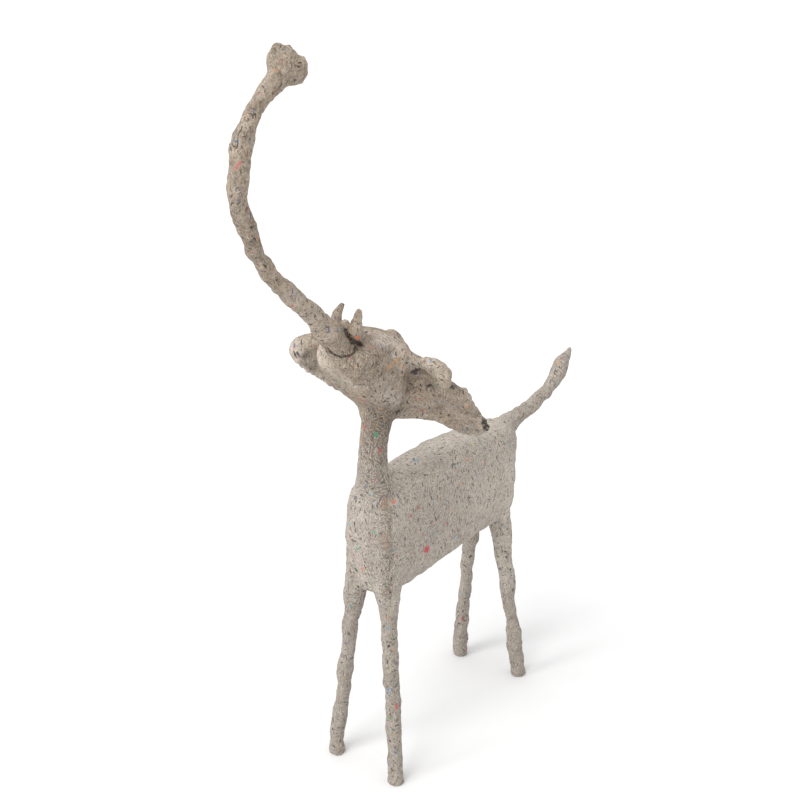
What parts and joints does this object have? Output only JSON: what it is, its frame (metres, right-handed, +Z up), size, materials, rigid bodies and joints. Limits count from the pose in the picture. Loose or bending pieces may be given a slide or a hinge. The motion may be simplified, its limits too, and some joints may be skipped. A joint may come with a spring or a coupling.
{
  "type": "elephant statue",
  "caption": "Slim standing elephant with its trunk thrown up high, ears spread and tail held out, shaped by hand from matt grey-beige paper pulp flecked with coloured scraps.",
  "frame": {"origin": "on the ground, below the middle of the figure's own box", "axes": "+Z up, the animal faces -Y and its left side is +X"},
  "size_m": [0.1872, 0.6026, 0.77],
  "materials": {
    "pulp": "matt, rough, with dark fibres and small coloured flecks"
  },
  "bodies": {
    "root": {"elephant": "pulp"}
  },
  "joints": []
}
